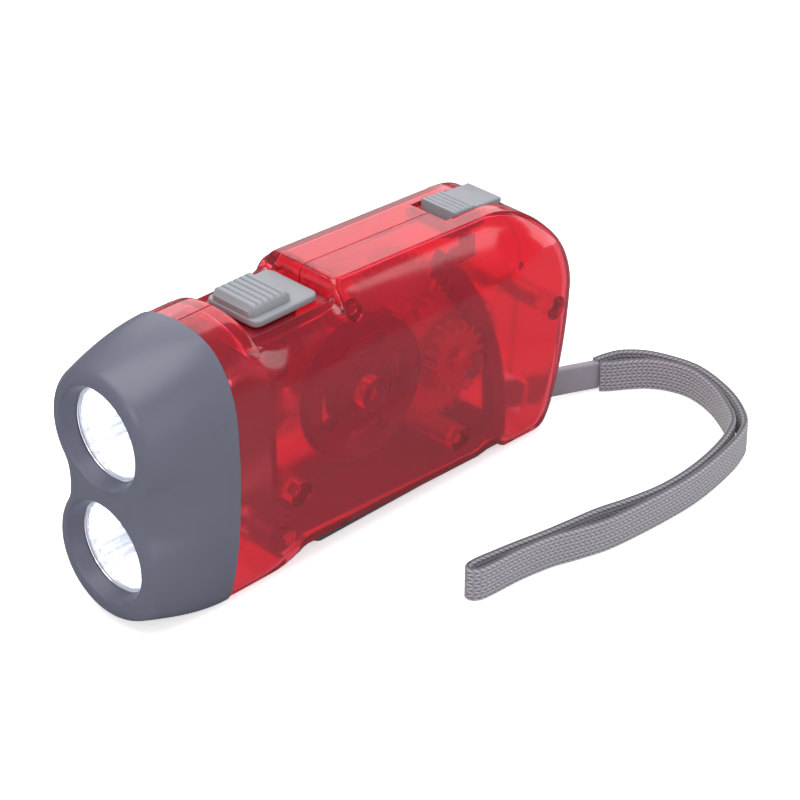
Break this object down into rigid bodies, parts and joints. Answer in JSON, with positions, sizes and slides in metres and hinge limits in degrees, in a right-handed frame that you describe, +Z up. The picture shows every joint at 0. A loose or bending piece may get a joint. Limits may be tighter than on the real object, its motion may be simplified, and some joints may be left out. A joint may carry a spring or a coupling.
{
  "type": "squeeze dynamo torch",
  "caption": "Hand-powered torch: twin lamps in a grey head, a clear casing over a gear train and flywheel, a squeeze lever underneath and a wrist strap.",
  "frame": {"origin": "on the surface the torch stands on, under the middle of the torch without its strap", "axes": "+X towards the tail and the strap, so the lamps face -X; +Y towards the side with the screw heads; +Z up, towards the switch"},
  "size_m": [0.1381, 0.0668, 0.0555],
  "materials": {
    "casing_red": "clear, polished",
    "bezel_grey": "satin",
    "slider_grey": "satin",
    "lever_grey": "satin",
    "lens_clear": "clear, polished",
    "reflector_mirror": "mirror",
    "led_lit": "lit",
    "gear_white": "moulded",
    "flywheel_grey": "moulded",
    "steel": "bright",
    "magnet_dark": "dull",
    "copper_wire": "enamelled",
    "contact_brass": "bright",
    "board_green": "lacquered",
    "dark_plastic": "moulded",
    "wire_red": "sleeved",
    "wire_black": "sleeved",
    "strap_webbing": "braided",
    "tab_sleeve": "smooth"
  },
  "bodies": {
    "casing": {"shell_left": "casing_red", "shell_right": "casing_red", "flywheel_axle": "steel", "drive_axle": "steel", "middle_axle": "steel", "screw_front": "steel", "screw_lower": "steel", "screw_rear": "steel", "screw_upper": "steel", "strap_anchor_pin": "steel", "bezel": "bezel_grey", "lens_upper": "lens_clear", "reflector_upper": "reflector_mirror", "led_upper": "led_lit", "lens_lower": "lens_clear", "reflector_lower": "reflector_mirror", "led_lower": "led_lit", "lamp_board": "board_green", "diode_1": "dark_plastic", "diode_2": "dark_plastic", "diode_3": "dark_plastic", "diode_4": "dark_plastic", "capacitor": "dark_plastic", "contact_strip_left": "contact_brass", "contact_strip_right": "contact_brass", "lever_pivot_pin": "steel", "return_spring": "steel", "stator_core": "steel", "coil_bobbin": "dark_plastic", "coil_winding": "copper_wire", "cell_holder": "dark_plastic", "cell_inner": "steel", "cell_outer": "steel", "wire_coil_red": "wire_red", "wire_coil_black": "wire_black", "wire_cell_red": "wire_red", "wire_cell_black": "wire_black", "strap_tab": "tab_sleeve", "strap_leg_outer": "strap_webbing", "strap_leg_inner": "strap_webbing"},
    "lever": {"squeeze_lever": "lever_grey"},
    "pinion": {"drive_pinion": "gear_white"},
    "wheel": {"main_wheel": "gear_white"},
    "middle": {"middle_gear": "gear_white"},
    "rotor": {"flywheel": "flywheel_grey", "rotor_magnet": "magnet_dark"},
    "switch": {"switch_slider": "slider_grey", "switch_carriage": "dark_plastic", "switch_leaf": "contact_brass"},
    "lock": {"lock_slider": "slider_grey"}
  },
  "joints": [
    {"name": "lever_hinge", "type": "hinge", "parent": "casing", "child": "lever", "pos_m": [-0.02, 0, 0.0078], "axis": [0, 1, 0], "range_deg": [0, 20], "deforming": ["return_spring"]},
    {"name": "pinion_spin", "type": "hinge", "parent": "casing", "child": "pinion", "pos_m": [0.0262, 0, 0.0264], "axis": [0, 1, 0], "continuous": true},
    {"name": "wheel_spin", "type": "hinge", "parent": "casing", "child": "wheel", "pos_m": [0.0262, 0, 0.0264], "axis": [0, 1, 0], "continuous": true},
    {"name": "middle_spin", "type": "hinge", "parent": "casing", "child": "middle", "pos_m": [0.01409, 0, 0.03746], "axis": [0, 1, 0], "continuous": true},
    {"name": "flywheel_spin", "type": "hinge", "parent": "casing", "child": "rotor", "pos_m": [-0.0002, 0, 0.0312], "axis": [0, 1, 0], "continuous": true},
    {"name": "switch_slide", "type": "slide", "parent": "casing", "child": "switch", "axis": [-1, 0, 0], "range_m": [0, 0.003]},
    {"name": "lock_slide", "type": "slide", "parent": "casing", "child": "lock", "axis": [-1, 0, 0], "range_m": [0, 0.002]}
  ],
  "couplings": [
    {"joint": "pinion_spin", "follows": "lever_hinge", "ratio": 8.7818},
    {"joint": "middle_spin", "follows": "flywheel_spin", "ratio": -0.3},
    {"joint": "wheel_spin", "follows": "flywheel_spin", "ratio": 0.084375}
  ]
}
